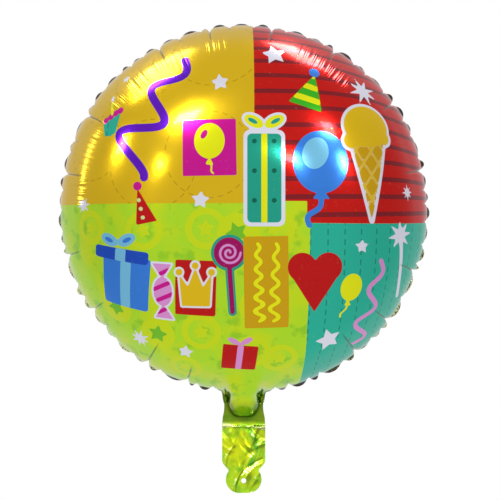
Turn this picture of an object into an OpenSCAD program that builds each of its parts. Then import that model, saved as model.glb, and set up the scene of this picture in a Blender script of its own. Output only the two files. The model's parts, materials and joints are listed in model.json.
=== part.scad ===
// Round foil party balloon, inflated, with its filling tail and self-sealing valve.
// Frame: +Z is up the balloon, the printed front faces -Y, and the origin is the middle of the
// back panel's flat crown. The envelope's middle plane and the tail hang at y = mid_y.

/* [Envelope] */
// Diameter of each film disc as cut, laid flat
flat_d = 457; // [380:1:560]
// Width of the welded rim
weld_w = 5; // [3:0.5:8]
// Thickness drawn for each panel film
film_t = 0.4; // [0.3:0.05:0.6]
// Radius of the flat middle of each panel's crown
crown_flat_r = 20; // [10:1:30]

/* [Neck and tail] */
// Width of the neck and tail
neck_w = 41; // [38:0.5:50]
// Width of each weld down the side of the neck
neck_weld_w = 4; // [3:0.5:5]
// How far the gas bulges down into the neck below the rim
throat_len = 20; // [14:1:24]
// How far the throat's film stands out from the middle plane at the rim
throat_depth = 9; // [7:0.5:11]
// Distance from the rim down to the crease where the tail folds
crease_drop = 32; // [29:1:36]
// Distance from the rim down to where the tail starts to narrow
shoulder_drop = 65; // [50:1:66]
// Distance from the rim down to the waist above the tab
waist_drop = 73; // [68:1:74]
// Width of the waist
waist_w = 29; // [26:0.5:32]
// Distance from the rim down to the end of the tab
tail_drop = 95; // [93:1:100]
// Width of the tab
tab_w = 34; // [32:0.5:38]
// Radius of the tab's rounded corners
tab_corner_r = 12.8; // [11:0.2:13]
// Radius of the ribbon hole
hole_r = 2.5; // [1.5:0.25:3]
// Film left open above the crease line, so that the tail can fold
crease_gap_above = 1.6; // [1.4:0.1:2]
// Film left open below the crease line
crease_gap_below = 0.8; // [0.6:0.1:0.9]

/* [Valve] */
// Width of the two valve films
valve_w = 24; // [18:0.5:26]
// Thickness drawn for each valve film
valve_t = 0.2; // [0.15:0.05:0.3]
// Gap of the closed channel between the valve films, as thick as the release coat
channel_t = 0.1; // [0.1:0.05:0.2]
// Length of the valve's free lips above the throat's end
lip_len = 70; // [50:1:90]

/* [Hidden] */
// An inflated disc keeps its arc from crown to rim, which is this many times its new radius.
CROWN_TO_RIM_ARC = 1.3110288;
PROFILE_STEPS = 40;
$fn = 96;

inflated_r = (flat_d / 2 - weld_w) / CROWN_TO_RIM_ARC;
rim_r = inflated_r + weld_w;
// Distances from the middle plane: the valve films' faces, and the panel films' faces.
valve_in = channel_t / 2;
film_in = valve_in + valve_t;
film_out = film_in + film_t;

crease_z = -(rim_r + crease_drop);
throat_z = -(rim_r + throat_len);
tab_z = -(rim_r + tail_drop - tab_corner_r);
hole_z = tab_z - 1.2;
throat_w = neck_w - 2 * neck_weld_w;
neck_end_z = crease_z + crease_gap_above;
tail_top_z = crease_z - crease_gap_below;
// Half the slit between a valve film's bonded root and its free lip.
lip_gap = 0.15;
lip_corner_r = 6;
// Space between the valve films' edges and the tail's welds.
weld_clearance = 0.3;
// The release coat stays this far inside the bonded root's sides and ends.
coat_inset = 1;

// Slope of the film where it lies this share of the way from the crown's flat to the rim.
flat_slope = asin(pow(crown_flat_r / inflated_r, 2));
function slope(i) = flat_slope + (90 - flat_slope) * pow(i / PROFILE_STEPS, 1.4);
function profile_r(a) = inflated_r * sqrt(sin(a));
// Height of the film above the rim at slope a: the integral of sqrt(sin) from a to 90 degrees.
INTEGRAL_STEPS = 60;
function profile_h(a) =
    let (da = (90 - a) / INTEGRAL_STEPS)
    inflated_r / 2 * (PI / 180) * da
        * sum_list([for (k = [0.5 : 1 : INTEGRAL_STEPS]) sqrt(sin(a + k * da))]);
function sum_list(v, i = 0) = i < len(v) ? v[i] + sum_list(v, i + 1) : 0;

crown_h = profile_h(flat_slope) + film_in;
mid_y = -(crown_h + film_t);

// The film's inner face, from the crown's axis out to the rim.
inner_curve = concat(
    [[0, crown_h]],
    [for (i = [0 : PROFILE_STEPS]) let (a = slope(i)) [profile_r(a), profile_h(a) + film_in]]
);
// Its outer face, from just above the welded rim back to the axis.
outer_curve = concat(
    [for (i = [PROFILE_STEPS - 2 : -1 : 1]) let (a = slope(i))
        [profile_r(a) + film_t * sin(a), profile_h(a) + film_in + film_t * cos(a)]],
    [[crown_flat_r, crown_h + film_t], [0, crown_h + film_t]]
);

// ---- Placing -------------------------------------------------------------------------------

// Turns a shape drawn with +Z out of the middle plane, and +Y up, to face the front.
module to_front() {
    translate([0, mid_y, 0]) rotate([90, 0, 0]) children();
}

// The same for the back: the front's mirror image in the middle plane.
module to_back() {
    translate([0, mid_y, 0]) mirror([0, 1, 0]) rotate([90, 0, 0]) children();
}

// A flat outline in X and Z, raised from one distance off the middle plane to another.
module sheet(from, to) {
    translate([0, 0, from]) linear_extrude(to - from) children();
}

// ---- Envelope ------------------------------------------------------------------------------

// The dome and its flat rim, as one film.
module dome_shell() {
    rotate_extrude() polygon(concat(
        inner_curve,
        [[rim_r, film_in], [rim_r, film_out], [inflated_r + film_t, film_out]],
        outer_curve
    ));
}

// Everything within the dome's outer face.
module dome_filled() {
    rotate_extrude() polygon(concat(
        [[0, 0], [inflated_r + film_t, 0], [inflated_r + film_t, film_out]],
        outer_curve
    ));
}

module panel() {
    difference() {
        dome_shell();
        throat_solid(film_t);
    }
}

// The gas bulge in the neck: a lens across, thinning in a straight line from the rim to the
// throat's end. grow adds the film's thickness.
module throat_solid(grow) {
    top = -inflated_r * 0.9;
    thinning = (throat_depth - film_in) / throat_len;
    half_w = throat_w / 2 + grow;
    lens = [for (u = [-1 : 1 / 3 : 1.01]) [u * half_w, (throat_depth + grow) * (1 - u * u)]];
    intersection() {
        translate([0, top, 0]) rotate([90, 0, 0]) linear_extrude(top - throat_z + grow)
            polygon(lens);
        translate([-throat_w, 0, 0]) rotate([90, 0, 90]) linear_extrude(2 * throat_w)
            polygon([
                [throat_z - grow, -1], [throat_z - grow, film_in + grow],
                [top, film_in + grow + thinning * (top - throat_z)], [top, -1]
            ]);
    }
}

// One film of the envelope: a dome with a flat rim, and an opening where the neck starts.
module panel() {
    difference() {
        dome_shell();
        throat_solid(film_t);
    }
}

module front_panel() {
    color("goldenrod") to_front() panel();
}

module back_panel() {
    color("goldenrod") to_back() panel();
}

// The ring where the two films are fused, open at the neck.
module rim_weld() {
    color("darkgoldenrod") to_front() difference() {
        sheet(-film_in, film_in) difference() {
            circle(rim_r);
            circle(inflated_r);
        }
        translate([-throat_w / 2, -rim_r - 1, -1]) cube([throat_w, weld_w + 20, 2]);
    }
}

// ---- Neck ----------------------------------------------------------------------------------

// The flat neck below the rim, between two widths each side of the middle.
module neck_flat(from_x, to_x) {
    difference() {
        translate([from_x, neck_end_z]) square([to_x - from_x, -neck_end_z - inflated_r * 0.9]);
        circle(rim_r);
    }
}

module neck_film() {
    difference() {
        union() {
            sheet(film_in, film_out) neck_flat(-neck_w / 2, neck_w / 2);
            difference() {
                throat_solid(film_t);
                translate([-neck_w, throat_z - 2, -1]) cube([2 * neck_w, 400, film_in + 1]);
                dome_filled();
            }
        }
        throat_solid(0);
    }
}

module neck_front_film() {
    color("yellowgreen") to_front() neck_film();
}

module neck_back_film() {
    color("yellowgreen") to_back() neck_film();
}

module neck_edge_welds() {
    color("olivedrab") to_front() sheet(-film_in, film_in) {
        neck_flat(-neck_w / 2, -throat_w / 2);
        neck_flat(throat_w / 2, neck_w / 2);
    }
}

// ---- Valve ---------------------------------------------------------------------------------

// The part of a valve film that is bonded inside the neck.
module valve_root() {
    sheet(valve_in, film_in)
        translate([-valve_w / 2, neck_end_z]) square([valve_w, throat_z - lip_gap - neck_end_z]);
}

// The free part that stands up into the envelope, with its top corners rounded.
module valve_lip() {
    bottom = throat_z + lip_gap;
    straight_w = valve_w - 2 * lip_corner_r;
    sheet(valve_in, film_in) {
        translate([-valve_w / 2, bottom]) square([valve_w, lip_len - lip_corner_r]);
        translate([-straight_w / 2, bottom]) square([straight_w, lip_len]);
        for (side = [-1, 1])
            translate([side * straight_w / 2, bottom + lip_len - lip_corner_r]) circle(lip_corner_r);
    }
}

module valve_front_root() {
    color("whitesmoke") to_front() valve_root();
}

module valve_back_root() {
    color("whitesmoke") to_back() valve_root();
}

module valve_front_lip() {
    color("whitesmoke") to_front() valve_lip();
}

module valve_back_lip() {
    color("whitesmoke") to_back() valve_lip();
}

// The printed coat that keeps the two valve films from bonding where they cross the neck.
module release_coat() {
    coat_w = valve_w - 2 * coat_inset;
    coat_len = throat_z - lip_gap - neck_end_z - 2 * coat_inset;
    color("slategray") to_front() sheet(-valve_in, valve_in)
        translate([-coat_w / 2, neck_end_z + coat_inset]) square([coat_w, coat_len]);
}

// ---- Tail ----------------------------------------------------------------------------------

// Outline of the tail: straight sides, shoulders in to the waist, and a rounded tab.
module tail_outline() {
    shoulder_z = -(rim_r + shoulder_drop);
    waist_z = -(rim_r + waist_drop);
    // The shoulders turn in slowly at first: one point on each eases them.
    ease_z = shoulder_z * 0.7 + waist_z * 0.3;
    ease_x = neck_w / 2 - 0.18 * (neck_w - waist_w) / 2;
    right_side = [
        [waist_w / 2, tab_z], [waist_w / 2, waist_z], [ease_x, ease_z],
        [neck_w / 2, shoulder_z], [neck_w / 2, tail_top_z]
    ];
    left_side = [for (i = [len(right_side) - 1 : -1 : 0]) [-right_side[i][0], right_side[i][1]]];
    polygon(concat(right_side, left_side));
    tab_side = tab_w / 2 - tab_corner_r;
    translate([-tab_side, tab_z - tab_corner_r]) square([2 * tab_side, 2 * tab_corner_r]);
    for (side = [-1, 1]) translate([side * tab_side, tab_z]) circle(tab_corner_r);
}

module ribbon_hole() {
    translate([0, hole_z, -2]) cylinder(r = hole_r, h = 4);
}

module tail_film() {
    difference() {
        sheet(film_in, film_out) tail_outline();
        ribbon_hole();
    }
}

module tail_front_film() {
    color("yellowgreen") to_front() tail_film();
}

module tail_back_film() {
    color("yellowgreen") to_back() tail_film();
}

// The tail's two sides, fused from the film's edge in to the valve films.
module tail_edge_welds() {
    half_channel = valve_w / 2 + weld_clearance;
    color("olivedrab") to_front() difference() {
        sheet(-film_in, film_in) tail_outline();
        translate([-half_channel, -2 * rim_r - tail_drop, -1]) cube([2 * half_channel, 2 * rim_r, 2]);
    }
}

// A valve film inside the tail, down to the mouth where the nozzle goes in.
module tail_valve_film() {
    difference() {
        sheet(valve_in, film_in) intersection() {
            tail_outline();
            translate([-valve_w / 2, -2 * rim_r - tail_drop]) square([valve_w, 2 * rim_r]);
        }
        ribbon_hole();
    }
}

module tail_valve_front_film() {
    color("whitesmoke") to_front() tail_valve_film();
}

module tail_valve_back_film() {
    color("whitesmoke") to_back() tail_valve_film();
}

front_panel();
back_panel();
rim_weld();
neck_front_film();
neck_back_film();
neck_edge_welds();
valve_front_root();
valve_back_root();
release_coat();
valve_front_lip();
valve_back_lip();
tail_front_film();
tail_back_film();
tail_edge_welds();
tail_valve_front_film();
tail_valve_back_film();
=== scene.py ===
"""Looks of a round foil balloon: two printed films that pucker round a welded rim, and a filling tail.

Lengths are in millimetres until a mesh is made. A place on the printed film is given by its flat
coordinates (u, w): u to the right and w up from the middle of the disc, as the film lies uncut and flat.
"""
import math

import bpy
import numpy as np
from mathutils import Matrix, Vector
from mathutils.geometry import delaunay_2d_cdt
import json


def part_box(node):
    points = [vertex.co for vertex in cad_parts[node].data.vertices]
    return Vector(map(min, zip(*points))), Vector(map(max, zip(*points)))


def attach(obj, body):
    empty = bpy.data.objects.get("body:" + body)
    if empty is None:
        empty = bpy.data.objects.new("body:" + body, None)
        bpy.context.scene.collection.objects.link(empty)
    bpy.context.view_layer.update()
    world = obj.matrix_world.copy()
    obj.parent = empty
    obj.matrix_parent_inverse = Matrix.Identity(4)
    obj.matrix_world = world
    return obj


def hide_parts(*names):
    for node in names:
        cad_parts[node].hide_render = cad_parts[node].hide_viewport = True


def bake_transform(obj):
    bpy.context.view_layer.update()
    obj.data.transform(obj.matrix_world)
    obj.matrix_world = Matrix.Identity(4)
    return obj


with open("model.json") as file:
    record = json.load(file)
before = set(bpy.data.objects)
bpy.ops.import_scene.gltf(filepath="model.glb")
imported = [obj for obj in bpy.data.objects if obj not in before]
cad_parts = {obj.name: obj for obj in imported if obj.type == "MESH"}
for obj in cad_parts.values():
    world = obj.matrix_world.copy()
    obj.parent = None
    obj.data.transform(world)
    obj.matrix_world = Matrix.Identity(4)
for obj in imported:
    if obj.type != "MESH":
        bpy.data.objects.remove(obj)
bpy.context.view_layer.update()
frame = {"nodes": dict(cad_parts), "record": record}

# ---- Sizes ----
MM = 0.001
TAU = 2 * math.pi
# An inflated disc keeps its arc from crown to rim, which is this many times its new radius.
CROWN_TO_RIM_ARC = 1.3110288
WELD_W = 5.0
NECK_WELD_W = 4.0
# How far each ply stands off the middle of the tail or the flange
FILM_OFFSET = 0.6
VALVE_OFFSET = 0.145
FLANGE_OFFSET = 0.12
# Spacing of the flat sheets' points
FILM_SPACING = 0.82
WELD_SPACING = 1.3
HOLE_POINTS = 28

joints = {j["name"]: j for j in frame["record"]["behaviour"]["joints"]}
mounts = {m["name"]: m for m in frame["record"]["mounts"]}
rim_low, rim_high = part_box("rim_weld")
tail_low, tail_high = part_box("tail_front_film")
_, valve_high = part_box("tail_valve_front_film")
coat_low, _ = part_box("release_coat")

MID_Y = (rim_low.y + rim_high.y) / 2 / MM
RIM_R = (rim_high.x - rim_low.x) / 2 / MM
INFLATED_R = RIM_R - WELD_W
SEAM_S = INFLATED_R * CROWN_TO_RIM_ARC
FILM_S = SEAM_S + WELD_W
NECK_HALF = tail_high.x / MM
CHANNEL_HALF = NECK_HALF - NECK_WELD_W
VALVE_HALF = valve_high.x / MM
# Distances below the rim
THROAT_DROP = -joints["front_lip_part"]["pos_m"][2] / MM - RIM_R
COAT_DROP = -coat_low.z / MM - RIM_R
CREASE_DROP = -joints["tail_crease"]["pos_m"][2] / MM - RIM_R
HOLE_DROP = -mounts["ribbon_hole"]["pos_m"][2] / MM - RIM_R
TAIL_DROP = -tail_low.z / MM - RIM_R
HOLE_R = mounts["ribbon_hole"]["dims"]["r_mm"]
SHOULDER_DROP = 65.0
WAIST_DROP = 73.0
# Half widths of the tail's waist and of the tab below it
WAIST_HALF = 14.5
TAB_HALF = 17.0
TAB_CORNER_R = 12.8
# The valve films end this far above the mouth
VALVE_SHORT = 3.0


def smooth(low, high, x):
    """0 below low, 1 above high, and an S between."""
    t = np.clip((x - low) / (high - low), 0, 1)
    return t * t * (3 - 2 * t)


def between(a, b, t):
    return a + (b - a) * t


# ---- The ideal dome ----
def dome_curve(steps=4000):
    """Arc length from the crown, radius and height above the rim, along an ideal inflated film."""
    slope = np.linspace(0, 1, steps) ** 2 * math.pi / 2
    root = np.sqrt(np.sin(slope))
    radius = INFLATED_R * root
    height = np.concatenate([[0], np.cumsum((root[1:] + root[:-1]) / 2 * np.diff(slope))]) * INFLATED_R / 2
    height = height[-1] - height
    arc = np.concatenate([[0], np.cumsum(np.hypot(np.diff(radius), np.diff(height)))])
    return arc * (SEAM_S / arc[-1]), radius, height


DOME_ARC, DOME_RADIUS, DOME_HEIGHT = dome_curve()


def dome_radius(s):
    return np.interp(s, DOME_ARC, DOME_RADIUS)


def dome_height(s):
    return np.interp(s, DOME_ARC, DOME_HEIGHT)


# ---- The puckered rim ----
# Filling shrinks the rim, so the film there gathers into pillows with a sharp crease between each two.
COLUMNS = 1440
LOBES = 62
PUCKER_FROM_S = 146.0
CREASE_DEPTH = 4.2
PILLOW_RISE = 3.6
SWELL_RISE = 0.16
RIB_PITCH = 3.3
FLANGE_ROWS = 3
FRONT_SEED, BACK_SEED = 7, 8
NECK_COLUMN = COLUMNS * 3 // 4
# Degrees round from the right, where creases run far in, and where fine ribs stand between them
LONG_CREASES = (12, 35, 60, 81, 101, 118, 149, 169, 195, 214, 238, 252, 308, 322, 340)
RIB_CLUSTERS = (52, 60, 68, 98, 112, 122, 131, 140, 156, 164, 176, 190, 198, 234, 246, 296, 330, 350, 22)


class Puckers:
    """Where one film's creases lie round the rim, how far in each starts and how deep it is."""

    def __init__(self, seed):
        lobes = np.random.default_rng(4)
        edges = (np.arange(LOBES) + lobes.uniform(-0.28, 0.28, LOBES)) * 360 / LOBES
        self.flange_reach = lobes.uniform(0.35, 1.0, LOBES + 1)
        rng = np.random.default_rng(seed)
        length = rng.uniform(14, 30, LOBES)
        depth = rng.uniform(0.7, 1.0, LOBES) * CREASE_DEPTH
        for angle in LONG_CREASES:
            nearest = np.argmin(np.abs((edges - angle + 180) % 360 - 180))
            edges[nearest] = angle
            length[nearest] = rng.uniform(45, 68)
            depth[nearest] = CREASE_DEPTH * 1.15
        # Each crease keeps to a column of points, so that it is sharp
        edges = np.round(edges * COLUMNS / 360) * 360 / COLUMNS
        order = np.argsort(edges % 360)
        edges, length, depth = np.radians(edges[order] % 360), length[order], depth[order]
        self.edges = np.concatenate([[edges[-1] - TAU], edges, [edges[0] + TAU]])
        self.length = np.concatenate([[length[-1]], length, [length[0]]])
        self.depth = np.concatenate([[depth[-1]], depth, [depth[0]]])
        self.ribs = [(math.radians(a + rng.uniform(-2, 2)), math.radians(rng.uniform(3.5, 6)),
                      rng.uniform(0.71, 0.77), rng.uniform(0.12, 0.24)) for a in RIB_CLUSTERS]
        self.swells = [(rng.uniform(0, TAU), rng.uniform(70, 150), rng.uniform(0, TAU)) for _ in range(6)]

    def place(self, angle):
        """The lobe of each angle, and how far across it from 0 to 1."""
        angle = angle % TAU
        lobe = np.clip(np.searchsorted(self.edges, angle, side="right") - 1, 0, LOBES)
        return lobe, (angle - self.edges[lobe]) / (self.edges[lobe + 1] - self.edges[lobe])

    def crease_shade(self, angle, s):
        """1 in the bottom of a crease, where little light comes, and 0 a millimetre off it."""
        lobe, across = self.place(angle)
        crease = lobe + (across > 0.5)
        off = np.minimum(across, 1 - across) * (self.edges[lobe + 1] - self.edges[lobe]) * dome_radius(s)
        reach = (s - SEAM_S + self.length[crease]) / self.length[crease]
        return np.clip(1 - off, 0, 1) * smooth(0.0, 0.25, reach)

    def rise(self, angle, s):
        """How far the film stands out from the ideal dome."""
        lobe, across = self.place(angle)
        crease = lobe + (across > 0.5)
        length = self.length[crease]
        reach = np.clip((s - SEAM_S + length) / length, 0, 1)
        edge = np.abs(2 * across - 1) ** between(14.0, 2.3, reach)
        rise = PILLOW_RISE * smooth(0.8, 1.0, s / SEAM_S) - self.depth[crease] * reach ** 1.3 * edge
        for middle, half, where, height in self.ribs:
            off = (angle - middle + math.pi) % TAU - math.pi
            window = 1 - smooth(0.6, 1.0, np.abs(off) / half)
            window = window * (1 - smooth(0.03, 0.09, np.abs(s / SEAM_S - where)))
            turns = off * dome_radius(s) / RIB_PITCH + 0.35 * np.sin(9 * off / half)
            rise = rise + height * window * np.cos(TAU * turns)
        away = smooth(25, 60, s)
        for turn, wavelength, start in self.swells:
            along = s * np.cos(angle - turn)
            rise = rise + SWELL_RISE * away * np.cos(TAU * along / wavelength + start)
        return rise


def dome_points(puckers, angle, s, side):
    """Places of the film's points at these angles and arc lengths."""
    r, height = dome_radius(s), dome_height(s)
    lean = (r / INFLATED_R) ** 2
    level = np.sqrt(np.maximum(1 - lean ** 2, 0))
    rise = puckers.rise(angle, s)
    r = r + rise * lean
    return np.stack([r * np.cos(angle), side * (height + rise * level), r * np.sin(angle)], axis=-1)


def flange_points(puckers, count):
    """Rows of points over the welded flange, which stands out between the creases and back at them."""
    angle = np.arange(count) * TAU / count
    seam = dome_points(puckers, angle, np.full(count, SEAM_S), -1)
    lobe, across = puckers.place(angle)
    out = puckers.flange_reach[lobe] * 0.68 * (1 - np.abs(2 * across - 1) ** 2.4) - 0.05
    back = np.sqrt(1 - out ** 2)
    way = np.stack([out * np.cos(angle), back, out * np.sin(angle)], axis=-1)
    steps = WELD_W * np.arange(FLANGE_ROWS + 1) / FLANGE_ROWS
    return steps + SEAM_S, seam + steps[:, None, None] * way


# ---- The neck and the tail ----
NECK_START_S = 150.0
# The gas-filled tongue: its reach below the rim, and its end's distance off the middle plane
TONGUE_DROP = 23.0
TONGUE_END_DEPTH = 11.0
# Its end is round from this far above the rim
TONGUE_ROUND = 8.0
# The films are gathered to this share of their width where they leave the disc
NECK_GATHER = 0.9
# The creases at the neck's corners: distance off the middle, half width, depth and lift
GROOVE_X = 16.8
GROOVE_HALF_W = 1.2
GROOVE_DEPTH = 2.6
GROOVE_LIFT = 1.2
# The ridge across the tail at its crease: height and how far it fades upwards and downwards
RIDGE_HEIGHT = 1.6
RIDGE_ABOVE = 3.4
RIDGE_BELOW = 1.1
CRUMPLE_COUNT = 56


def neck_line(v):
    """Height below the middle and depth off the middle plane, down the neck's centre line."""
    end_v = FILM_S + TONGUE_DROP
    start = np.array([dome_radius(NECK_START_S), dome_height(NECK_START_S)])
    ahead = np.array([dome_radius(NECK_START_S + 1), dome_height(NECK_START_S + 1)])
    end = np.array([RIM_R + TONGUE_DROP, TONGUE_END_DEPTH])
    reach = np.hypot(*(end - start))
    t = np.clip((v - NECK_START_S) / (end_v - NECK_START_S), 0, 1)
    leave = (ahead - start) * reach
    arrive = np.array([0.71, -0.71]) * reach
    curve = [
        (2 * t ** 3 - 3 * t ** 2 + 1) * start[k] + (t ** 3 - 2 * t ** 2 + t) * leave[k]
        + (3 * t ** 2 - 2 * t ** 3) * end[k] + (t ** 3 - t ** 2) * arrive[k]
        for k in (0, 1)
    ]
    return np.where(v > end_v, RIM_R + v - FILM_S, curve[0]), curve[1]


def tongue_edge(u, v):
    """1 on the round edge of the gas-filled tongue, less inside it and more outside.

    It is full enough at its corners for the valve's lips to part inside it.
    """
    down = np.maximum(v - FILM_S + TONGUE_ROUND, 0) / (TONGUE_DROP + TONGUE_ROUND)
    return np.abs(u / CHANNEL_HALF) ** 3 + down ** 2.5


def tongue(u, v):
    """1 along the middle of the tongue, and 0 beyond its end and its sides."""
    inside = np.sqrt(np.clip(1 - tongue_edge(u, v), 0, 1))
    return between(1.0, inside, smooth(FILM_S - 26, FILM_S - 6, v))


def neck_spread(v):
    """How wide the film stands for its flat width: gathered on the disc, and flat in the tail."""
    inner_v = np.clip(v, 1.0, SEAM_S)
    neck = between(dome_radius(inner_v) / inner_v, NECK_GATHER, smooth(FILM_S - 22, FILM_S + 4, v))
    return between(neck, 1.0, smooth(FILM_S + 6, FILM_S + CREASE_DROP, v))


def neck_groove(u, v):
    """1 in the two creases that run up the disc from the neck's corners, and 0 beside them."""
    off = np.abs(np.abs(u) * neck_spread(v) - GROOVE_X)
    ends = smooth(FILM_S - 42, FILM_S - 16, v) * (1 - smooth(FILM_S - 2, FILM_S + 5, v))
    return np.exp(-off / GROOVE_HALF_W) * ends


def crumple_lines(rng):
    """Short creases in the tail: middle, direction, length, height and softness of each."""
    lines = []
    for _ in range(CRUMPLE_COUNT):
        u = rng.uniform(-NECK_HALF, NECK_HALF)
        down = rng.uniform(CREASE_DROP + 1, TAIL_DROP - 6)
        turn = rng.normal(2.15, 0.3) if u + 0.5 * (down - 60) > 0 else rng.normal(1.2, 0.6)
        length = rng.uniform(12, 34)
        height = rng.uniform(-1.9, 1.9)
        lines.append((u, FILM_S + down, turn, length, height, rng.uniform(1.1, 3.0)))
    return lines


CRUMPLES = crumple_lines(np.random.default_rng(21))


def crumple(u, v):
    """How far the tail's films stand off their middle plane together, below the flat release coat."""
    ridge = v - FILM_S - CREASE_DROP - 0.05 * u - 0.5 * np.sin(0.55 * u) - 0.3 * np.sin(1.3 * u + 1)
    fade = between(RIDGE_ABOVE, RIDGE_BELOW, smooth(-1, 0.5, ridge))
    depth = -RIDGE_HEIGHT * np.exp(-np.abs(ridge + 0.4) / fade)
    for u0, v0, turn, length, height, softness in CRUMPLES:
        along = (u - u0) * math.cos(turn) + (v - v0) * math.sin(turn)
        off = (v - v0) * math.cos(turn) - (u - u0) * math.sin(turn) + 0.02 * along ** 2
        fade = 1 - smooth(length * 0.2, length * 0.6, np.abs(along))
        depth = depth + height * fade * np.exp(-np.sqrt((off / softness) ** 2 + 0.05))
    return depth * smooth(FILM_S + COAT_DROP, FILM_S + CREASE_DROP + 0.5, v)


def neck_place(u, v, side, offset=None):
    """The 3-D place of flat place (u, -v) in the neck or tail, on the front (side -1) or back (side 1)."""
    drop, depth = neck_line(v)
    depth = FILM_OFFSET + (depth - FILM_OFFSET) * tongue(u, v)
    if offset is not None:
        depth = np.full_like(depth, offset)
    return np.stack([u * neck_spread(v), crumple(u, v) + side * depth, -drop], axis=-1)


def into_neck(points, u, w, side):
    """Draw the film's points near the neck over to the neck's own shape."""
    v = -w
    share = smooth(NECK_START_S, NECK_START_S + 40, v)
    edge = between(NECK_HALF, 12.0, smooth(FILM_S, FILM_S - 16, v))
    share = share * (1 - smooth(edge, edge + between(14, 8, smooth(SEAM_S - 4, SEAM_S, v)), np.abs(u)))
    near = share > 0
    points = points.copy()
    points[near] = between(points[near], neck_place(u[near], v[near], side), share[near][:, None])
    groove = neck_groove(u, v) * (np.hypot(u, v) < FILM_S - 1)
    points[:, 1] -= side * GROOVE_DEPTH * groove
    points[:, 2] += GROOVE_LIFT * groove
    return points


def tail_outline():
    """The tail's flat edge as (u, v) points, down the right side from the disc and up the left."""
    right = [(NECK_HALF, FILM_S + 3), (NECK_HALF, FILM_S + SHOULDER_DROP),
             (NECK_HALF - 1.1, FILM_S + between(SHOULDER_DROP, WAIST_DROP, 0.3)),
             (WAIST_HALF, FILM_S + WAIST_DROP)]
    tab_v = FILM_S + TAIL_DROP - TAB_CORNER_R
    centre = TAB_HALF - TAB_CORNER_R
    for degrees in range(-36, 91, 6):
        turn = math.radians(degrees)
        right.append((centre + TAB_CORNER_R * math.cos(turn), tab_v + TAB_CORNER_R * math.sin(turn)))
    return right + [(-u, v) for u, v in reversed(right)]


def divided(outline, spacing):
    """The outline with more points along its longer sides."""
    points = []
    for a, b in zip(outline, outline[1:] + outline[:1]):
        steps = max(1, round(math.dist(a, b) / spacing))
        points += [(between(a[0], b[0], k / steps), between(a[1], b[1], k / steps)) for k in range(steps)]
    return points


def inner_points(polygon, spacing):
    """A staggered grid of points inside an outline."""
    low, high = polygon.min(0), polygon.max(0)
    grid = np.array([(u, v) for row, v in enumerate(np.arange(low[1] + spacing / 2, high[1], spacing * 0.87))
                     for u in np.arange(low[0] + (row % 2) * spacing / 2, high[0], spacing)])
    return grid[polygon_distance(*grid.T, polygon) < -spacing * 0.5]


def fill_outline(outline, spacing, hole_r=0.0):
    """Points and triangles over a flat outline, with the ribbon hole if hole_r is above 0."""
    outline = divided(outline, spacing)
    polygon = np.array(outline)
    hole_v = FILM_S + HOLE_DROP
    count = len(outline)
    edges = [(i, (i + 1) % count) for i in range(count)]
    if hole_r > 0:
        for i in range(HOLE_POINTS):
            turn = TAU * i / HOLE_POINTS
            outline.append((hole_r * math.cos(turn), hole_v + hole_r * math.sin(turn)))
            edges.append((count + i, count + (i + 1) % HOLE_POINTS))
    grid = inner_points(polygon, spacing)
    grid = grid[np.hypot(grid[:, 0], grid[:, 1] - hole_v) > hole_r + spacing * 0.5]
    points = [Vector(p) for p in outline] + [Vector(p) for p in grid]
    made, _, faces, _, _, _ = delaunay_2d_cdt(points, edges, [], 1, 1e-5)
    flat = np.array([(p.x, p.y) for p in made])
    middle = np.array([flat[list(f)].mean(0) for f in faces])
    outside = polygon_distance(*middle.T, polygon) > 0
    in_hole = np.hypot(middle[:, 0], middle[:, 1] - hole_v) < hole_r * 0.98
    return flat, [f for f, drop in zip(faces, outside | in_hole) if not drop]


# ---- Inks ----
def colour(red, green, blue):
    """A colour as the eye names it, 0 to 255, in the linear values that shaders use."""
    linear = [v / 255 / 12.92 if v < 10 else ((v / 255 + 0.055) / 1.055) ** 2.4 for v in (red, green, blue)]
    return tuple(linear) + (1.0,)


# In the order of printing: an ink is drawn over all that stand before it
INKS = dict(
    lime=colour(182, 229, 44),
    lime_yellow=colour(208, 228, 30),
    leaf=colour(122, 198, 46),
    gold=colour(226, 186, 28),
    red=colour(204, 28, 22),
    maroon=colour(134, 34, 40),
    teal=colour(46, 184, 156),
    silver=colour(232, 230, 242),
    jade=colour(38, 164, 138),
    pine=colour(18, 104, 82),
    blue=colour(60, 130, 222),
    deep_blue=colour(36, 80, 190),
    sky=colour(124, 196, 228),
    crimson=colour(196, 26, 26),
    foil_gold=colour(232, 192, 26),
    amber=colour(212, 166, 20),
    plum=colour(164, 18, 96),
    magenta=colour(208, 26, 146),
    pink=colour(226, 150, 212),
    pale_green=colour(206, 236, 150),
    green=colour(64, 184, 36),
    yellow=colour(238, 240, 24),
    purple=colour(98, 28, 186),
    # Not a print: painted shade, the dark of the flange that tucks back in shadow behind the pillows
    painted_flange_shade=colour(46, 22, 14),
)
AMBER_LINE = colour(150, 112, 16)
SHADOW = colour(26, 62, 12)
# Pale lime of the painted highlight on the tail's crease and raised folds
PAINTED_HIGHLIGHT = colour(246, 255, 170)


# ---- Distances to flat shapes, for the print ----
def segment_gap(x, y, start, end):
    """Squared distance to the straight line from start to end."""
    ex, ey = end[0] - start[0], end[1] - start[1]
    dx, dy = x - start[0], y - start[1]
    t = np.clip((dx * ex + dy * ey) / max(ex * ex + ey * ey, 1e-9), 0, 1)
    return (dx - t * ex) ** 2 + (dy - t * ey) ** 2


def polygon_distance(x, y, points):
    """Signed distance to a closed outline, negative inside."""
    nearest = np.full(x.shape, 1e9)
    inside = np.zeros(x.shape, bool)
    for start, end in zip(points, np.roll(points, -1, axis=0)):
        nearest = np.minimum(nearest, segment_gap(x, y, start, end))
        if start[1] != end[1]:
            crosses = (start[1] > y) != (end[1] > y)
            inside ^= crosses & (x < start[0] + (y - start[1]) * (end[0] - start[0]) / (end[1] - start[1]))
    return np.sqrt(nearest) * np.where(inside, -1, 1)


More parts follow.
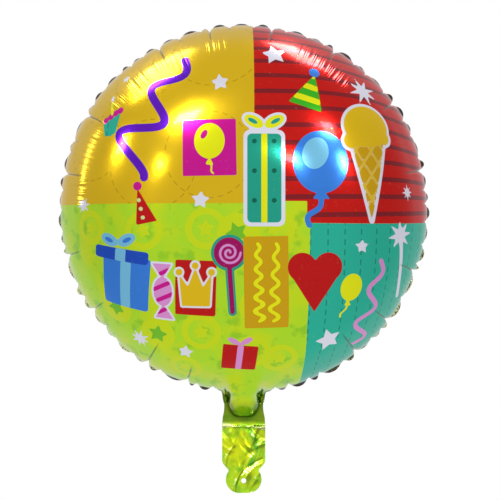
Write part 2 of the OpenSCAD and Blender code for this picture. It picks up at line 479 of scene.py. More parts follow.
class Sheet:
    """The flat print: for each ink, the signed distance from every point to the area that it covers."""

    def __init__(self, u, w):
        self.u, self.w = u, w
        self.inks = {}

    def lay(self, ink, *shapes, within=None):
        """Print shapes over what is already there, or only where another ink lies."""
        distance = np.minimum.reduce(shapes)
        if within is not None:
            distance = np.maximum(distance, self.inks[within])
        order = list(INKS)
        for name, other in self.inks.items():
            if order.index(name) > order.index(ink):
                self.inks[name] = np.maximum(other, -distance)
        before = self.inks.get(ink)
        self.inks[ink] = distance if before is None else np.minimum(before, distance)

    def turned(self, u0, w0, degrees):
        a = math.radians(degrees)
        du, dw = self.u - u0, self.w - w0
        return du * math.cos(a) + dw * math.sin(a), dw * math.cos(a) - du * math.sin(a)

    def disc(self, u0, w0, r):
        return np.hypot(self.u - u0, self.w - w0) - r

    def oval(self, u0, w0, half_w, half_h, degrees=0):
        x, y = self.turned(u0, w0, degrees)
        scaled = np.hypot(x / half_w, y / half_h)
        return scaled * (scaled - 1) / np.maximum(np.hypot(x / half_w ** 2, y / half_h ** 2), 1e-6)

    def box(self, u0, w0, width, height, degrees=0, corner=0.0):
        x, y = self.turned(u0, w0, degrees)
        dx, dy = np.abs(x) - width / 2 + corner, np.abs(y) - height / 2 + corner
        return np.hypot(np.maximum(dx, 0), np.maximum(dy, 0)) + np.minimum(np.maximum(dx, dy), 0) - corner

    def outline(self, *points):
        return polygon_distance(self.u, self.w, np.array(points, float))

    def line(self, points, width):
        """A round-ended stroke through points."""
        gaps = [segment_gap(self.u, self.w, start, end) for start, end in zip(points, points[1:])]
        return np.sqrt(np.minimum.reduce(gaps)) - width / 2

    def edged(self, ink, shapes):
        """Print shapes with a thin silver edge."""
        self.lay("silver", *[shape - 1.8 for shape in shapes])
        self.lay(ink, *shapes)

    def star(self, u0, w0, r, points=5, waist=0.5, degrees=0):
        corners = []
        for i in range(2 * points):
            a = math.radians(degrees + 90) + math.pi * i / points
            reach = r if i % 2 == 0 else r * waist
            corners.append((u0 + reach * math.cos(a), w0 + reach * math.sin(a)))
        return self.outline(*corners)


def wavy(start, end, swing, waves, steps=60):
    """Points of a wave along a line from start to end, swinging out more towards its end."""
    (ax, ay), (bx, by) = start, end
    length = math.hypot(bx - ax, by - ay)
    nx, ny = -(by - ay) / length, (bx - ax) / length
    points = []
    for i in range(steps + 1):
        t = i / steps
        out = swing * (0.35 + 0.65 * t) * math.sin(TAU * waves * t)
        points.append((between(ax, bx, t) + nx * out, between(ay, by, t) + ny * out))
    return points


def spiral(u0, w0, r_in, r_out, turns):
    points = []
    for i in range(61):
        r, a = between(r_in, r_out, i / 60), TAU * turns * i / 60
        points.append((u0 + r * math.cos(a), w0 + r * math.sin(a)))
    return points


# ---- The print ----
def print_quarters(sheet):
    lay = sheet.lay
    far = 400
    lay("lime", np.full(sheet.u.shape, -far, float))
    lay("gold", sheet.outline((-far, 3), (10, 3), (10, far), (-far, far)))
    lay("red", sheet.outline((10, 5), (58, 5), (58, -15), (far, -19), (far, far), (10, far)))
    lay("teal", sheet.outline((61, -15), (far, -19), (far, -far), (65, -far), (65, -207), (60, -110)))
    stripe = 16.6
    phase = (sheet.w - 0.012 * sheet.u) % stripe
    lay("maroon", np.abs(phase - stripe / 2) - 2.3, within="red")


def print_tone_on_tone(sheet):
    lay = sheet.lay
    rings = [(-34, -20, 19), (-92, -22, 18), (-6, -24, 18), (-150, -20, 17), (-40, -118, 19),
             (-84, -124, 18), (8, -140, 19), (36, -150, 18), (-128, -100, 18), (-60, -165, 17),
             (28, -20, 19), (14, -92, 18)]
    for i, (u0, w0, r) in enumerate(rings):
        if i % 3 == 2:
            lay("lime_yellow", sheet.disc(u0, w0, r), within="lime")
            lay("leaf", sheet.star(u0, w0, r * 0.62, degrees=12 * i), within="lime_yellow")
        else:
            ring = np.abs(sheet.disc(u0, w0, r - 3)) - 3
            lay("lime_yellow", ring, sheet.star(u0, w0, r * 0.46, degrees=20 * i), within="lime")
    tail_w = -FILM_S - 52
    loop = np.abs(sheet.oval(-5, tail_w, 16.5, 20.5)) - 2.2
    lay("lime_yellow", sheet.oval(-6, tail_w, 13, 17), within="lime")
    lay("leaf", np.maximum(loop, 4 - sheet.u), within="lime")


def print_stars(sheet):
    lay = sheet.lay
    plain = [(-22, 117, 9.5, 8), (-39, 6, 9, -6), (30, 150, 13, 10), (111, -37, 7.5, 0),
             (84, -131, 14, 18), (-57, -142, 8.5, -10), (-125, 137, 5.5, 0)]
    spiky = [(122, 119, 19, 20), (166, 15, 9, 5), (-160, 2, 10.5, 8), (-106, -134, 13, 25)]
    lay("silver", *[sheet.star(u0, w0, r, degrees=degrees) for u0, w0, r, degrees in plain])
    lay("silver", *[sheet.star(u0, w0, r, 8, 0.36, degrees) for u0, w0, r, degrees in spiky])


def print_hats_and_cake(sheet):
    lay = sheet.lay
    lay("crimson", sheet.outline((-98, 17), (-99, -17), (-79, -13)))
    lay("pale_green", *[sheet.disc(-96.5 + 2 * i, 6 - 8 * i, 2) for i in range(3)])
    lay("magenta", sheet.disc(-98, 19, 4.2))

    lay("green", sheet.outline((69, 128), (42, 98), (73, 88)))
    _, up = sheet.turned(58, 93, -17)
    lay("yellow", np.abs((up % 13) - 8.5) - 3, within="green")
    lay("blue", sheet.disc(69, 131, 5.4))

    lay("teal", sheet.outline((-141, 84), (-120, 92), (-124, 72), (-130, 69), (-137, 70)))
    icing = [(-138, 87), (-132, 90), (-126, 93), (-121, 95)]
    lay("magenta", *[sheet.disc(u0, w0, 3.6) for u0, w0 in icing])
    lay("yellow", sheet.line([(-131, 93), (-134, 106)], 3.2))
    lay("silver", sheet.oval(-135, 112, 2.2, 4, 10))


def print_upper_motifs(sheet):
    """A streamer, a card, a tall present, a balloon and an ice cream."""
    lay = sheet.lay
    lay("purple", sheet.line(wavy((-58, 146), (-113, 38), 24, 2.25), 8))

    lay("magenta", sheet.box(-31, 54, 49, 52, 1))
    knot = sheet.outline((-31, 45), (-35, 38), (-27, 38))
    string = sheet.line(wavy((-31, 40), (-27, 30), 1.5, 1), 1.6)
    lay("yellow", sheet.oval(-31, 60, 14, 16.5), knot, string)
    lay("magenta", sheet.oval(-36, 66, 2.6, 4.6, -30))

    lay("silver", sheet.box(19, 26, 38, 88, 0, 6))
    lay("jade", sheet.box(19, 26, 31, 81, 0, 4))
    for row in range(6):
        for u0 in ((10, 28) if row % 2 else (19,)):
            lay("pine", sheet.disc(u0, -8 + 13.5 * row, 2.3))
    lay("yellow", sheet.box(19, 26, 5.5, 81))
    lay("silver", *[sheet.oval(19 + 9.5 * lean, 78, 12, 7.6, 28 * lean) for lean in (-1, 1)])
    for lean in (-1, 1):
        lay("yellow", sheet.oval(19 + 9.5 * lean, 78, 9.6, 5.2, 28 * lean))
        lay("jade", sheet.oval(19 + 10.5 * lean, 78.5, 5, 2, 28 * lean), within="yellow")

    lay("blue", sheet.oval(71, 41, 26, 29))
    lay("sky", sheet.oval(66, 49, 12, 15, -20))
    string = sheet.line(wavy((71, 9), (60, -17), 5, 1), 5)
    lay("blue", sheet.outline((71, 18), (63, 7), (79, 7)), string)

    scoops = [sheet.oval(119, 78, 25, 21, 8)] + [sheet.disc(101 + 12 * i, 62 + 2 * i, 7.5) for i in range(4)]
    cone = sheet.outline((99, 64), (138, 69), (121, -13))
    lay("silver", *[shape - 3 for shape in [cone] + scoops])
    lay("amber", cone)
    for step in range(-6, 7):
        for lean in (-1, 1):
            across, _ = sheet.turned(121, 30, 35 * lean)
            lay("foil_gold", np.abs(across - 13 * step) - 1.1, within="amber")
    lay("foil_gold", *scoops)


def print_lower_motifs(sheet):
    """A gift, a sweet, a crown, a lollipop, streamers, a heart, a small balloon and a sparkler."""
    lay = sheet.lay
    lay("blue", sheet.box(-113, -72, 50, 52, -7, 3))
    lay("sky", sheet.box(-113, -72, 11, 52, -7), within="blue")
    lay("deep_blue", sheet.box(-116, -45, 57, 12, -7, 3))
    lay("sky", sheet.box(-116, -45, 11, 12, -7), within="deep_blue")
    for lean in (-1, 1):
        lay("sky", sheet.oval(-118 + 9 * lean, -31, 9.5, 5.5, 24 * lean))
        lay("blue", sheet.oval(-118 + 9.5 * lean, -31, 5, 2.2, 24 * lean))

    upper_twist = sheet.outline((-75, -67), (-66, -53), (-84, -52))
    lower_twist = sheet.outline((-75, -91), (-84, -105), (-66, -106))
    sheet.edged("pink", [sheet.oval(-75, -79, 9, 14), upper_twist, lower_twist])
    for step in range(4):
        lay("magenta", sheet.box(-75, -97 + 12 * step, 30, 4.4, 24), within="pink")

    lay("crimson", sheet.box(-44, -75, 38, 52, -2))
    crown = sheet.outline((-57, -92), (-31, -92), (-29, -62), (-37, -74), (-44, -56), (-51, -74), (-59, -62))
    jewels = [sheet.disc(-59, -60, 3.2), sheet.disc(-44, -54, 3.2), sheet.disc(-29, -60, 3.2)]
    sheet.edged("foil_gold", [crown] + jewels)

    for ink, r, width in (("jade", 16.5, 8), ("plum", 14, 4.4)):
        lay(ink, sheet.disc(-13, -42, r), sheet.line([(-13, -50), (-10, -97)], width))
    lay("pink", sheet.line(spiral(-13, -42, 1, 10.5, 2), 2.2))

    lay("amber", sheet.box(21, -70, 41, 86, 1))
    lay("yellow", sheet.line(wavy((13, -34), (15, -106), 5, 5.5, 110), 3.2))
    lay("yellow", sheet.line(wavy((30, -34), (28, -106), 5, 4.5, 110), 3.2))

    point = sheet.outline((43, -62), (66, -98), (89, -62), (77.5, -49), (66, -56), (54.5, -49))
    lay("crimson", point, *[sheet.disc(66 + 12.2 * lean, -55.5, 13.4) for lean in (-1, 1)])

    knot = sheet.outline((99, -88), (95, -95), (103, -94))
    string = sheet.line(wavy((99, -93), (93, -106), 2, 1), 2)
    lay("yellow", sheet.oval(102, -76, 11, 13.5, -12), knot, string)

    lay("pink", sheet.line(wavy((133, -52), (118, -146), 13, 2.5), 5))

    sparks = sheet.star(156, -28, 17, points=8, waist=0.4, degrees=8)
    lay("silver", sheet.line([(158, -34), (168, -96)], 5), sparks)


def print_gift(sheet):
    lay = sheet.lay
    lay("crimson", sheet.box(-4, -147, 34, 31, -6))
    lay("pink", sheet.box(-4, -147, 6, 31, -6), within="crimson")
    lay("pink", *[sheet.oval(-3 + 6 * lean, -127, 6.5, 2.8, 30 * lean) for lean in (-1, 1)])


def print_film(u, w):
    sheet = Sheet(u, w)
    for layer in (print_quarters, print_tone_on_tone, print_stars, print_upper_motifs, print_lower_motifs,
                  print_hats_and_cake, print_gift):
        layer(sheet)
    # Painted shade: the flange beyond the seam is laid dark, as if in shadow behind the pillows, but not
    # beside the neck
    off_the_neck = np.where(w < 0, NECK_HALF + 11 - np.abs(u), -20)
    sheet.lay("painted_flange_shade", np.maximum(SEAM_S + 0.3 - np.hypot(u, w), off_the_neck))
    return sheet.inks


# ---- Materials ----
class Nodes:
    """A node tree that later calls add to."""

    def __init__(self, tree):
        self.tree = tree

    def add(self, kind, **values):
        node = self.tree.nodes.new(kind)
        for name, value in values.items():
            setattr(node, name, value)
        return node

    def link(self, a, b):
        self.tree.links.new(a, b)

    def noise(self, scale, detail, source):
        node = self.add("ShaderNodeTexNoise")
        node.inputs["Scale"].default_value = scale
        node.inputs["Detail"].default_value = detail
        self.link(source, node.inputs["Vector"])
        return node.outputs["Fac"]

    def range(self, value, low, high, to_low, to_high):
        node = self.add("ShaderNodeMapRange")
        for name, number in (("From Min", low), ("From Max", high), ("To Min", to_low), ("To Max", to_high)):
            node.inputs[name].default_value = number
        self.link(value, node.inputs["Value"])
        return node.outputs["Result"]

    def mix(self, share, a, b):
        """Mix two colours, each given as a value or a socket, by a share that is a number or a socket."""
        node = self.add("ShaderNodeMix", data_type="RGBA")
        colours = [socket for socket in node.inputs if socket.type == "RGBA"]
        for socket, value in ((node.inputs[0], share), (colours[0], a), (colours[1], b)):
            if isinstance(value, (tuple, float)):
                socket.default_value = value
            else:
                self.link(value, socket)
        return [socket for socket in node.outputs if socket.type == "RGBA"][0]

    def math(self, operation, *values):
        node = self.add("ShaderNodeMath", operation=operation)
        for socket, value in zip(node.inputs, values):
            if isinstance(value, (int, float)):
                socket.default_value = value
            else:
                self.link(value, socket)
        return node.outputs[0]

    def times(self, a, b):
        return self.math("MULTIPLY", a, b)

    def attribute(self, name, output="Fac"):
        return self.add("ShaderNodeAttribute", attribute_name=name).outputs[output]

    def bump(self, height, distance, strength, under=None):
        node = self.add("ShaderNodeBump")
        node.inputs["Strength"].default_value = strength
        node.inputs["Distance"].default_value = distance
        self.link(height, node.inputs["Height"])
        if under is not None:
            self.link(under, node.inputs["Normal"])
        return node.outputs["Normal"]


def new_material(name):
    """A material, its nodes and its shader's inputs."""
    material = bpy.data.materials.new(name)
    material.use_nodes = True
    nodes = Nodes(material.node_tree)
    return material, nodes, nodes.tree.nodes["Principled BSDF"].inputs


def dashed_columns(nodes, u, w):
    """Thin upright dashed lines over the print."""
    across = nodes.math("PINGPONG", nodes.math("ADD", u, 4.0), 8.15)
    column = nodes.range(across, 0.5, 0.8, 1.0, 0.0)
    dash = nodes.range(nodes.math("MODULO", nodes.math("ADD", w, 900.0), 9.5), 5.2, 5.5, 1.0, 0.0)
    return nodes.times(column, dash)


def dashed_loop(nodes, u, w, u0, w0, r):
    """A thin dashed ring over the print."""
    du, dw = nodes.math("SUBTRACT", u, u0), nodes.math("SUBTRACT", w, w0)
    squares = nodes.math("ADD", nodes.times(du, du), nodes.times(dw, dw))
    off = nodes.math("ABSOLUTE", nodes.math("SUBTRACT", nodes.math("SQRT", squares), r))
    turn = nodes.math("ADD", nodes.times(nodes.math("ARCTAN2", dw, du), r), 900.0)
    dash = nodes.range(nodes.math("MODULO", turn, 9.0), 5.0, 5.3, 1.0, 0.0)
    return nodes.times(nodes.range(off, 0.4, 0.7, 1.0, 0.0), dash)


# Dashed rings on the gold quarter: middle and radius
GOLD_LOOPS = ((-28, 160, 46), (-100, 140, 38), (-85, 40, 42), (-32, 48, 40), (-150, 60, 34))


def lime_base(nodes, place, inks):
    """The lime ground, which clouds towards yellow and is blotted with leaf green."""
    patches = nodes.noise(0.03, 1.0, place)
    blots = nodes.noise(0.055, 2.0, place)
    clouded = nodes.mix(nodes.range(patches, 0.45, 0.62, 0.0, 0.8), inks["lime"], inks["lime_yellow"])
    return nodes.mix(nodes.range(blots, 0.56, 0.66, 0.0, 0.55), clouded, inks["leaf"])


def lay_inks(nodes, result, u, w, inks):
    """Every other ink in turn, with dashed lines over the teal and the gold."""
    for ink, tint in inks.items():
        if ink == "lime":
            continue
        cover = nodes.range(nodes.attribute("ink_" + ink), -0.2, 0.2, 1.0, 0.0)
        result = nodes.mix(cover, result, tint)
        if ink == "teal":
            dashes = nodes.times(cover, dashed_columns(nodes, u, w))
            result = nodes.mix(nodes.times(dashes, 0.6), result, inks["pine"])
        if ink == "gold":
            for u0, w0, r in GOLD_LOOPS:
                loop = nodes.times(cover, dashed_loop(nodes, u, w, u0, w0, r))
                result = nodes.mix(nodes.times(loop, 0.4), result, AMBER_LINE)
    return result


def tail_mottle_and_painted_light(nodes, place, on_tail, result, inks):
    """The tail's mottled ink, a painted highlight on its crease and raised folds, and painted shade in every
    fold.
    """
    mottle = nodes.noise(0.11, 4.0, place)
    yellower = nodes.times(on_tail, nodes.range(mottle, 0.48, 0.66, 0.0, 0.5))
    greener = nodes.times(on_tail, nodes.range(mottle, 0.32, 0.5, 0.5, 0.0))
    result = nodes.mix(greener, nodes.mix(yellower, result, inks["yellow"]), inks["green"])
    # Painted highlight: the crease and the folds that face up are lightened towards pale lime, broken up by
    # noise
    highlight = nodes.range(nodes.noise(0.42, 3.0, place), 0.3, 0.7, -0.45, 0.45)
    highlight = nodes.math("ADD", nodes.attribute("fold_light"), highlight)
    result = nodes.mix(nodes.range(highlight, 0.4, 0.75, 0.0, 0.85), result, PAINTED_HIGHLIGHT)
    shade = nodes.range(nodes.attribute("fold_shade"), 0.0, 1.0, 0.0, 0.85)
    return nodes.mix(shade, result, SHADOW)


def foil_surface(nodes, shader, on_tail):
    """Shiny where the gas stretches it, and duller in the tail, which is held in the hand."""
    coordinates = nodes.add("ShaderNodeTexCoord").outputs["Object"]
    cloudy = nodes.range(nodes.noise(22.0, 4.0, coordinates), 0.3, 0.7, 0.13, 0.2)
    duller = nodes.times(on_tail, 0.14)
    nodes.link(nodes.math("ADD", cloudy, duller), shader["Roughness"])
    shader["Metallic"].default_value = 1.0
    shader["Coat Weight"].default_value = 0.12
    shader["Coat Roughness"].default_value = 0.05
    ripple = nodes.bump(nodes.noise(14.0, 2.0, coordinates), 0.0012, 0.4)
    crinkle = nodes.noise(90.0, 1.0, coordinates)
    nodes.link(nodes.bump(crinkle, 0.0001, 0.1, ripple), shader["Normal"])


def printed_foil(name, inks):
    """Glossy foil: metal under clear inks, each laid where its own distance is below zero."""
    material, nodes, shader = new_material(name)
    place = nodes.attribute("flat_place", "Vector")
    split = nodes.add("ShaderNodeSeparateXYZ")
    nodes.link(place, split.inputs[0])
    u, w = split.outputs[0], split.outputs[1]
    on_tail = nodes.range(w, -FILM_S - CREASE_DROP, -FILM_S, 1.0, 0.0)
    result = lay_inks(nodes, lime_base(nodes, place, inks), u, w, inks)
    nodes.link(tail_mottle_and_painted_light(nodes, place, on_tail, result, inks), shader["Base Color"])
    foil_surface(nodes, shader, on_tail)
    return material


def plain_film(name, low, high, metallic, roughness, see_through=0.0):
    """A film whose colour clouds between two close tones."""
    material, nodes, shader = new_material(name)
    coordinates = nodes.add("ShaderNodeTexCoord").outputs["Object"]
    cloud = nodes.noise(60.0, 4.0, coordinates)
    tint = nodes.mix(nodes.range(cloud, 0.3, 0.7, 0.0, 1.0), low, high)
    nodes.link(tint, shader["Base Color"])
    shader["Metallic"].default_value = metallic
    shader["Transmission Weight"].default_value = see_through
    nodes.link(nodes.range(cloud, 0.3, 0.7, roughness, roughness + 0.12), shader["Roughness"])
    grain = nodes.noise(180.0, 3.0, coordinates)
    nodes.link(nodes.bump(grain, 0.0002, 0.3), shader["Normal"])
    return material


# ---- Meshes ----
def add_object(name, data):
    thing = bpy.data.objects.new(name, data)
    bpy.context.collection.objects.link(thing)
    return thing


def make_piece(name, points, faces, material):
    """A piece, from points in millimetres off the middle plane."""
    mesh = bpy.data.meshes.new(name)
    mesh.from_pydata(((points + [0, MID_Y, 0]) * MM).tolist(), [], [tuple(map(int, f)) for f in faces])
    mesh.materials.append(material)
    mesh.shade_smooth()
    piece = add_object(name, mesh)
    return piece


def ring_faces(outer, inner, outer_count, inner_count):
    """Faces between two rings, given by their first points, the outer with as many points or twice."""
    if outer_count == inner_count:
        return [(inner + i, inner + (i + 1) % inner_count, outer + (i + 1) % outer_count, outer + i)
                for i in range(outer_count)]
    faces = []
    for i in range(inner_count):
        here, beyond = inner + i, inner + (i + 1) % inner_count
        a, b, c = outer + 2 * i, outer + 2 * i + 1, outer + (2 * i + 2) % outer_count
        faces += [(here, b, a), (here, beyond, b), (beyond, c, b)]
    return faces


def flange_normals(flange):
    """Directions from the front ply of the flange to the back ply."""
    normal = np.cross(np.roll(flange, -1, 1) - np.roll(flange, 1, 1), np.gradient(flange, axis=0))
    normal /= np.linalg.norm(normal, axis=2, keepdims=True)
    radial = flange * [1, 0, 1]
    return normal * -np.sign(np.sum(normal * radial))


def ring_plan():
    """Arc lengths of the film's rings from the crown outwards, and how many points each has."""
    plan = []
    s = 1.8
    while s < SEAM_S - 0.5:
        share = 1 if s > PUCKER_FROM_S else 2 if s > 80 else 4 if s > 40 else 8 if s > 18 else 16
        plan.append((s, COLUMNS // share))
        s += 1.8 if s < 80 or s > SEAM_S - 26 else 2.2
    return plan + [(SEAM_S, COLUMNS)]


def film_rings(puckers, side):
    """Arc length and places of each ring of one film's points, from the crown out over the flange."""
    rings = []
    for s, count in ring_plan():
        angle = np.arange(count) * TAU / count
        rings.append((s, dome_points(puckers, angle, np.full(count, s), side)))
    flange_s, flange = flange_points(puckers, COLUMNS)
    flange = flange + flange_normals(flange) * side * FLANGE_OFFSET
    # The flange's first row is the seam, so it stands in for the dome's last ring
    return rings[:-1] + list(zip(flange_s, flange))


def disc_mesh(puckers, side):
    """Points, faces and flat coordinates of one film's disc, and where its last ring starts."""
    points = [np.array([[0.0, side * dome_height(0.0), 0.0]])]
    flat = [np.zeros((1, 2))]
    starts = []
    total = 1
    for s, places in film_rings(puckers, side):
        angle = np.arange(len(places)) * TAU / len(places)
        flat.append(np.stack([s * np.cos(angle), s * np.sin(angle)], 1))
        points.append(places)
        starts.append((total, len(places)))
        total += len(places)
    first, count = starts[0]
    faces = [(0, first + (i + 1) % count, first + i) for i in range(count)]
    for (inner, inner_count), (outer, outer_count) in zip(starts, starts[1:]):
        faces += ring_faces(outer, inner, outer_count, inner_count)
    return np.concatenate(points), faces, np.concatenate(flat), starts[-1][0]


def film_mesh(puckers, side):
    """Points, faces and flat coordinates of one film: disc, neck and tail, sharing their points."""
    points, faces, flat, last = disc_mesh(puckers, side)
    points = into_neck(points, *flat.T, side)

    reach = math.ceil(math.asin(NECK_HALF / FILM_S) * COLUMNS / TAU)
    arc = [last + NECK_COLUMN + k for k in range(-reach, reach + 1)]
    outline = [(flat[i][0], -flat[i][1]) for i in arc] + tail_outline()
    tail_flat, tail_faces = fill_outline(outline, FILM_SPACING, HOLE_R)
    index, added = {}, []
    for i in range(len(tail_flat)):
        gap = np.hypot(*(flat[arc] * [1, -1] - tail_flat[i]).T)
        if gap.min() < 1e-3:
            index[i] = arc[np.argmin(gap)]
        else:
            index[i] = len(points) + len(added)
            added.append(tail_flat[i])
    added = np.array(added)
    points = np.concatenate([points, neck_place(*added.T, side)])
    flat = np.concatenate([flat, added * [1, -1]])
    faces += [tuple(index[k] for k in f) for f in tail_faces]
    if side < 0:
        faces = [tuple(reversed(f)) for f in faces]
    return points, faces, flat


def fold_slope(u, v):
    """How steeply the tail's film faces down and right, or up and left where it is below 0."""
    return crumple(u + 0.3, v + 0.6) - crumple(u - 0.3, v - 0.6)


def neck_shade(u, v):
    """The shade beside the tongue and under its end, fading towards the crease."""
    off = (np.hypot(u / CHANNEL_HALF, np.maximum(v - FILM_S + 8, 0) / (TONGUE_DROP + 6)) - 1) * CHANNEL_HALF
    shade = between(0.72, 1.0, 1 - smooth(0, 6, off)) * smooth(-1.6, 0.4, off)
    shade = np.maximum(shade, 0.42 * smooth(FILM_S - 14, FILM_S + 10, v))
    shade = np.maximum(shade, 0.9 * smooth(CHANNEL_HALF - 2, NECK_HALF, np.abs(u)) * (v < FILM_S + 12))
    shade = shade * smooth(SEAM_S - 8, SEAM_S + 1, np.hypot(u, v))
    shade = shade * (1 - smooth(CREASE_DROP - 6, CREASE_DROP - 2, v - FILM_S))
    return shade * (1 - smooth(NECK_HALF + 7, NECK_HALF + 14, np.abs(u)))


def tongue_shade(u, v):
    """The shade on the tongue's sides, which leaves a bright middle that narrows downwards."""
    below_rim = neck_line(v)[0] - RIM_R
    beside = np.abs(u) * neck_spread(v) - 17 + 0.66 * below_rim
    shade = 0.74 * smooth(-3.0, 2.5, beside) * smooth(-6, 3, below_rim)
    return shade * (1 - smooth(NECK_HALF - 1, NECK_HALF + 3, np.abs(u))) * (v < FILM_S + TONGUE_DROP)


def fold_shade(puckers, u, w):
    """How far each place lies in the shadow of a fold: in a crease, under the tongue or in a wrinkle."""
    v, s = -w, np.hypot(u, w)
    off_the_neck = 1 - smooth(-34, -22, -np.abs(u)) * (w < 0)
    crease = puckers.crease_shade(np.arctan2(w, u), s) * (s < FILM_S) * off_the_neck
    groove = 0.9 * smooth(0.35, 0.8, neck_groove(u, v)) * (s < FILM_S)
    wrinkle = 0.7 * smooth(0.05, 0.6, fold_slope(u, v)) * (v > FILM_S)
    return np.max([crease, groove, neck_shade(u, v), tongue_shade(u, v), wrinkle], axis=0)


def fold_light(u, v):
    """How much painted highlight each place gets: along the tail's crease and on the tail's folds that face
    up and left.
    """
    wide = 1.6 + 3.0 * (u / NECK_HALF) ** 2
    crease = 1 - smooth(0.2, 1.0, np.abs(v - FILM_S - CREASE_DROP + 0.6 - 0.05 * u) / wide)
    crease = crease * between(0.55, 1.0, smooth(4, 12, np.abs(u)))
    wrinkle = 0.6 * smooth(0.05, 0.6, -fold_slope(u, v)) * (v > FILM_S + CREASE_DROP + 4)
    return np.maximum(crease, wrinkle)


def add_value(piece, name, values):
    """Give each of the piece's points a number for its material."""
    attribute = piece.data.attributes.new(name, "FLOAT", "POINT")
    attribute.data.foreach_set("value", values.astype(np.float32))


def make_film(name, side, material):
    puckers = Puckers(FRONT_SEED if side < 0 else BACK_SEED)
    points, faces, flat = film_mesh(puckers, side)
    piece = make_piece(name, points, faces, material)
    add_value(piece, "fold_shade", fold_shade(puckers, *flat.T))
    add_value(piece, "fold_light", fold_light(flat[:, 0], -flat[:, 1]))
    # Both sides read the right way round, so the back is printed mirrored across
    flat = flat * [-side, 1]
    place = piece.data.attributes.new("flat_place", "FLOAT_VECTOR", "POINT")
    place.data.foreach_set("vector", np.column_stack([flat, np.zeros(len(flat))]).astype(np.float32).ravel())
    for ink, distance in print_film(*flat.T).items():
        add_value(piece, "ink_" + ink, np.clip(distance, -20, 20))
    return piece


def make_rim_weld(material):
    """The fused band between the two films' flanges, open at the neck."""
    _, flange = flange_points(Puckers(FRONT_SEED), COLUMNS)
    reach = math.floor(math.asin(CHANNEL_HALF / SEAM_S) * COLUMNS / TAU)
    columns = [(NECK_COLUMN + reach + k) % COLUMNS for k in range(COLUMNS - 2 * reach + 1)]
    band = flange[:, columns]
    rows, count = band.shape[:2]
    faces = [(r * count + c, r * count + c + 1, (r + 1) * count + c + 1, (r + 1) * count + c)
             for r in range(rows - 1) for c in range(count - 1)]
    return make_piece("rim_weld_band", band.reshape(-1, 3), faces, material)


def make_valve_film(name, offset, material):
    """A flat strip inside the tail, a little to the front (offset below 0) or back of its middle."""
    top, end = FILM_S + THROAT_DROP, FILM_S + TAIL_DROP - VALVE_SHORT
    right = [(VALVE_HALF, top), (VALVE_HALF, end - 8), (VALVE_HALF - 6, end)]
    outline = right + [(-u, v) for u, v in reversed(right)]
    flat, faces = fill_outline(outline, FILM_SPACING, HOLE_R)
    points = neck_place(*flat.T, 1, offset)
    return make_piece(name, points, faces, material)


def make_side_welds(material):
    """The fused strips along both edges of the neck and the tail."""
    outline = [(CHANNEL_HALF, FILM_S + 2), (NECK_HALF, FILM_S + 2), (NECK_HALF, FILM_S + SHOULDER_DROP),
               (WAIST_HALF, FILM_S + WAIST_DROP), (WAIST_HALF - 4, FILM_S + WAIST_DROP),
               (CHANNEL_HALF, FILM_S + SHOULDER_DROP - 1)]
    right, right_faces = fill_outline(outline, WELD_SPACING)
    flat = np.concatenate([right, right * [-1, 1]])
    faces = right_faces + [[k + len(right) for k in reversed(f)] for f in right_faces]
    points = neck_place(*flat.T, 1, 0.0)
    return make_piece("side_weld_strips", points, faces, material)


def bend_at_crease(piece):
    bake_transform(piece)


def recolour(node, material):
    """Give a CAD node that is kept its own material."""
    slots = frame["nodes"][node].data.materials
    slots.clear()
    slots.append(material)


# ---- The balloon ----
foil = printed_foil("printed_foil", INKS)
weld_foil = plain_film("weld_foil", colour(150, 160, 60), colour(120, 130, 50), 1.0, 0.25)
clear_film = plain_film("clear_film", colour(225, 230, 235), colour(205, 212, 220), 0.0, 0.12, 0.6)
coat_ink = plain_film("coat_ink", colour(120, 128, 138), colour(98, 106, 116), 0.0, 0.5)

front_film = make_film("front_film", -1, foil)
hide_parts("front_panel", "neck_front_film", "tail_front_film")
bend_at_crease(front_film)
back_film = make_film("back_film", 1, foil)
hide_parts("back_panel", "neck_back_film", "tail_back_film")
bend_at_crease(back_film)

rim_band = make_rim_weld(weld_foil)
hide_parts("rim_weld")
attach(rim_band, "envelope")

for word, way in (("front", -1), ("back", 1)):
    valve = make_valve_film("valve_film_" + word, way * VALVE_OFFSET, clear_film)
    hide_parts("valve_%s_root" % word, "tail_valve_%s_film" % word)
    bend_at_crease(valve)

side_welds = make_side_welds(weld_foil)
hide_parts("neck_edge_welds", "tail_edge_welds")
bend_at_crease(side_welds)

recolour("valve_front_lip", clear_film)
recolour("valve_back_lip", clear_film)
recolour("release_coat", coat_ink)


# ---- The studio ----
# Each lamp stands where its glint on the film is wanted: name, direction, distance, size and power
LAMPS = (
    ("key_left", (-0.33, -0.74, 0.58), 2.0, (0.28, 0.16), 10),
    ("left_window", (-0.50, -0.83, 0.24), 2.0, (0.14, 0.1), 1.2),
    ("far_left", (-0.84, -0.37, 0.40), 1.8, (0.2, 0.2), 4),
    ("band_left", (-0.51, 0.16, 0.83), 1.6, (0.9, 0.5), 14),
    ("band_right", (0.33, 0.28, 0.89), 1.6, (0.6, 0.4), 14),
    ("edge_left", (-0.92, 0.28, 0.27), 1.6, (0.14, 0.5), 1.1),
    ("key_right", (0.52, -0.68, 0.52), 2.0, (0.22, 0.22), 5),
    ("right_window", (0.22, -0.94, 0.25), 2.0, (0.2, 0.12), 2.5),
    ("far_right", (0.62, -0.73, 0.27), 2.0, (0.14, 0.2), 2.5),
)


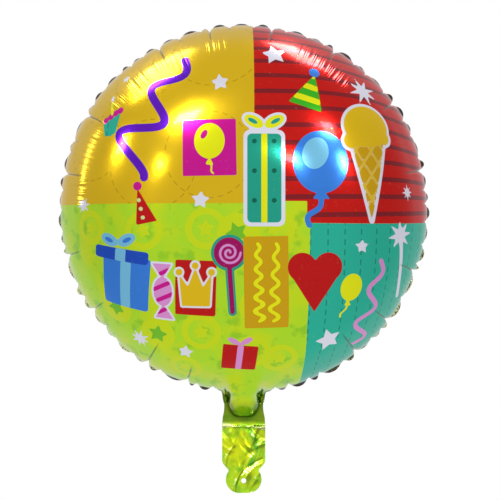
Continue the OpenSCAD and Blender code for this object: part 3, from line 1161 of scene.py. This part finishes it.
def make_lamps():
    middle = Vector((0, MID_Y * MM, 0))
    for name, way, distance, size, watts in LAMPS:
        light = bpy.data.lights.new(name, "AREA")
        light.shape = "RECTANGLE"
        light.size, light.size_y = size
        light.energy = watts
        place = middle + Vector(way) * distance
        lamp = add_object(name, light)
        lamp.location = place
        lamp.rotation_euler = (middle - place).to_track_quat("-Z", "Y").to_euler()


def make_floor():
    half, far, z = 8.0, 2.5, -0.62
    mesh = bpy.data.meshes.new("floor")
    corners = [(-half, -half, z), (half, -half, z), (half, far, z), (-half, far, z)]
    mesh.from_pydata(corners, [], [(0, 1, 2, 3)])
    mesh.materials.append(plain_film("floor_paint", colour(250, 250, 250), colour(245, 245, 245), 0.0, 0.6))
    floor = add_object("floor", mesh)
    floor.visible_glossy = False


def make_world():
    """White to the camera. Reflections see a pale room, a little darker behind the balloon and beside it."""
    world = bpy.data.worlds.new("studio")
    bpy.context.scene.world = world
    world.use_nodes = True
    nodes = Nodes(world.node_tree)
    way = nodes.add("ShaderNodeSeparateXYZ")
    nodes.link(nodes.add("ShaderNodeTexCoord").outputs["Generated"], way.inputs[0])
    behind = nodes.range(way.outputs[1], 0.35, 0.95, 0.0, 1.0)
    beside = nodes.range(nodes.math("ABSOLUTE", way.outputs[0]), 0.55, 0.95, 0.0, 1.0)
    room = nodes.mix(behind, (0.80, 0.81, 0.83, 1.0), (0.72, 0.72, 0.74, 1.0))
    room = nodes.mix(nodes.times(beside, 0.6), room, (0.6, 0.6, 0.62, 1.0))
    seen = nodes.add("ShaderNodeLightPath").outputs["Is Camera Ray"]
    background = nodes.tree.nodes["Background"]
    nodes.link(nodes.mix(seen, room, (1.0, 1.0, 1.0, 1.0)), background.inputs["Color"])
    background.inputs["Strength"].default_value = 1.0


def make_camera():
    """Straight in front, far enough for a flat perspective."""
    distance, frame_w = 2.2, 0.4755
    aim_x, aim_z = 0.006, -0.0395
    data = bpy.data.cameras.new("camera")
    camera = add_object("camera", data)
    camera.location = (aim_x, MID_Y * MM - distance, aim_z)
    camera.rotation_euler = (math.pi / 2, 0, 0)
    data.sensor_width = 36
    data.lens = 36 * distance / frame_w
    data.clip_end = 50
    bpy.context.scene.camera = camera


make_floor()
make_world()
make_camera()
make_lamps()
bpy.context.scene.view_settings.view_transform = "Standard"
